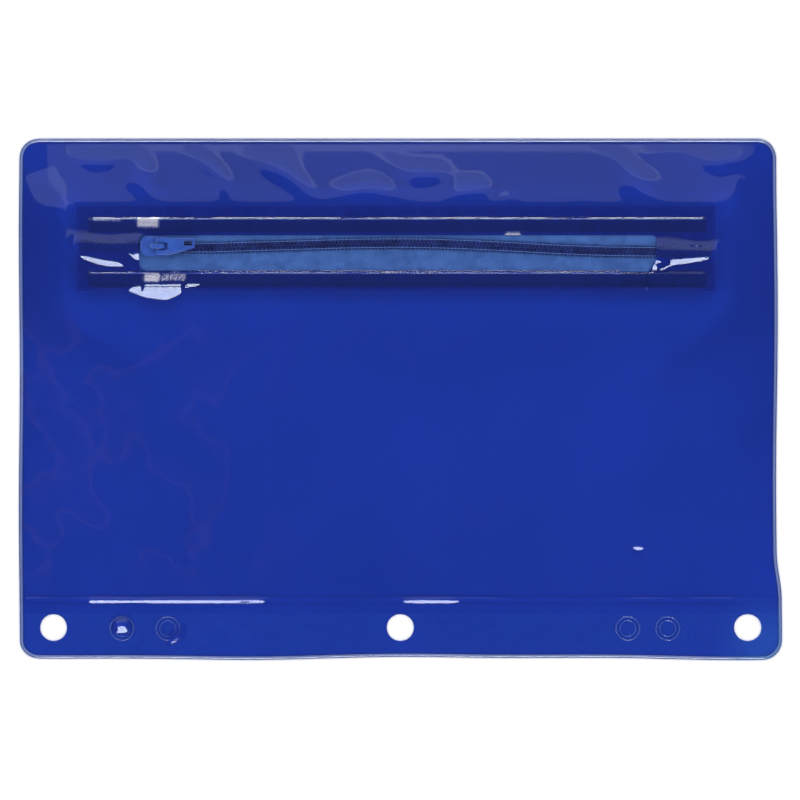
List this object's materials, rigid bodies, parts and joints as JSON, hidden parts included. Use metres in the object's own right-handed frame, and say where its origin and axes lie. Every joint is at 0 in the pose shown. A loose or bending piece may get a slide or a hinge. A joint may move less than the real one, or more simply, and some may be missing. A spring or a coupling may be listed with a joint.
{
  "type": "zipper deposit pouch",
  "caption": "Flat translucent vinyl pouch with a zipper behind a slot in its front sheet and a welded, hole-punched binder margin.",
  "frame": {"origin": "centre of the pouch's flat back face", "axes": "+X along the row of binder holes, to the zipper's open end; +Y from the binder margin to the zipper edge; +Z out of the front sheet"},
  "size_m": [0.237, 0.162, 0.011],
  "materials": {
    "vinyl": "glossy translucent deep blue flexible PVC, smooth, with soft ripples",
    "zip_tape": "woven polyester tape, fine herringbone twill, matt",
    "zip_coil": "navy nylon monofilament coil, satin gloss",
    "zip_thread": "pale blue twisted polyester sewing thread",
    "zip_cord": "blue twisted polyester filler cord, matt",
    "slider_enamel": "blue baked enamel on die-cast zinc, semi-gloss, worn slightly at its edges"
  },
  "bodies": {
    "pouch": {"back_sheet": "vinyl", "front_sheet": "vinyl", "upper_tape_hem": "zip_tape", "lower_tape_hem": "zip_tape", "left_chain_end": "zip_coil", "right_chain_end": "zip_coil"},
    "upper_lip": {"upper_tape_lip": "zip_tape", "upper_coil": "zip_coil", "upper_filler_cord": "zip_cord", "upper_stitching": "zip_thread"},
    "lower_lip": {"lower_tape_lip": "zip_tape", "lower_coil": "zip_coil", "lower_filler_cord": "zip_cord", "lower_stitching": "zip_thread"},
    "slider": {"slider_body": "slider_enamel", "slider_crown": "slider_enamel"},
    "tab": {"pull_tab": "slider_enamel"}
  },
  "joints": [
    {"name": "slider_slide", "type": "slide", "parent": "pouch", "child": "slider", "axis": [0.9999, -0.0115, 0], "range_m": [0, 0.151]},
    {"name": "pull_tab_hinge", "type": "hinge", "parent": "slider", "child": "tab", "pos_m": [-0.07521, 0.04723, 0.0094], "axis": [-0.0115, -0.9999, 0], "range_deg": [0, 172]},
    {"name": "upper_lip_fold", "type": "hinge", "parent": "pouch", "child": "upper_lip", "pos_m": [0, 0.0508, 0.00615], "axis": [-1, 0, 0], "range_deg": [0, 55], "deforming": ["upper_tape_lip", "upper_coil", "upper_filler_cord", "upper_stitching"]},
    {"name": "lower_lip_fold", "type": "hinge", "parent": "pouch", "child": "lower_lip", "pos_m": [0, 0.0395, 0.00615], "axis": [1, 0, 0], "range_deg": [0, 55], "deforming": ["lower_tape_lip", "lower_coil", "lower_filler_cord", "lower_stitching"]}
  ],
  "couplings": [
    {"joint": "upper_lip_fold", "follows": "slider_slide", "rad_per_m": 6.3456},
    {"joint": "lower_lip_fold", "follows": "slider_slide", "rad_per_m": 6.3456}
  ]
}
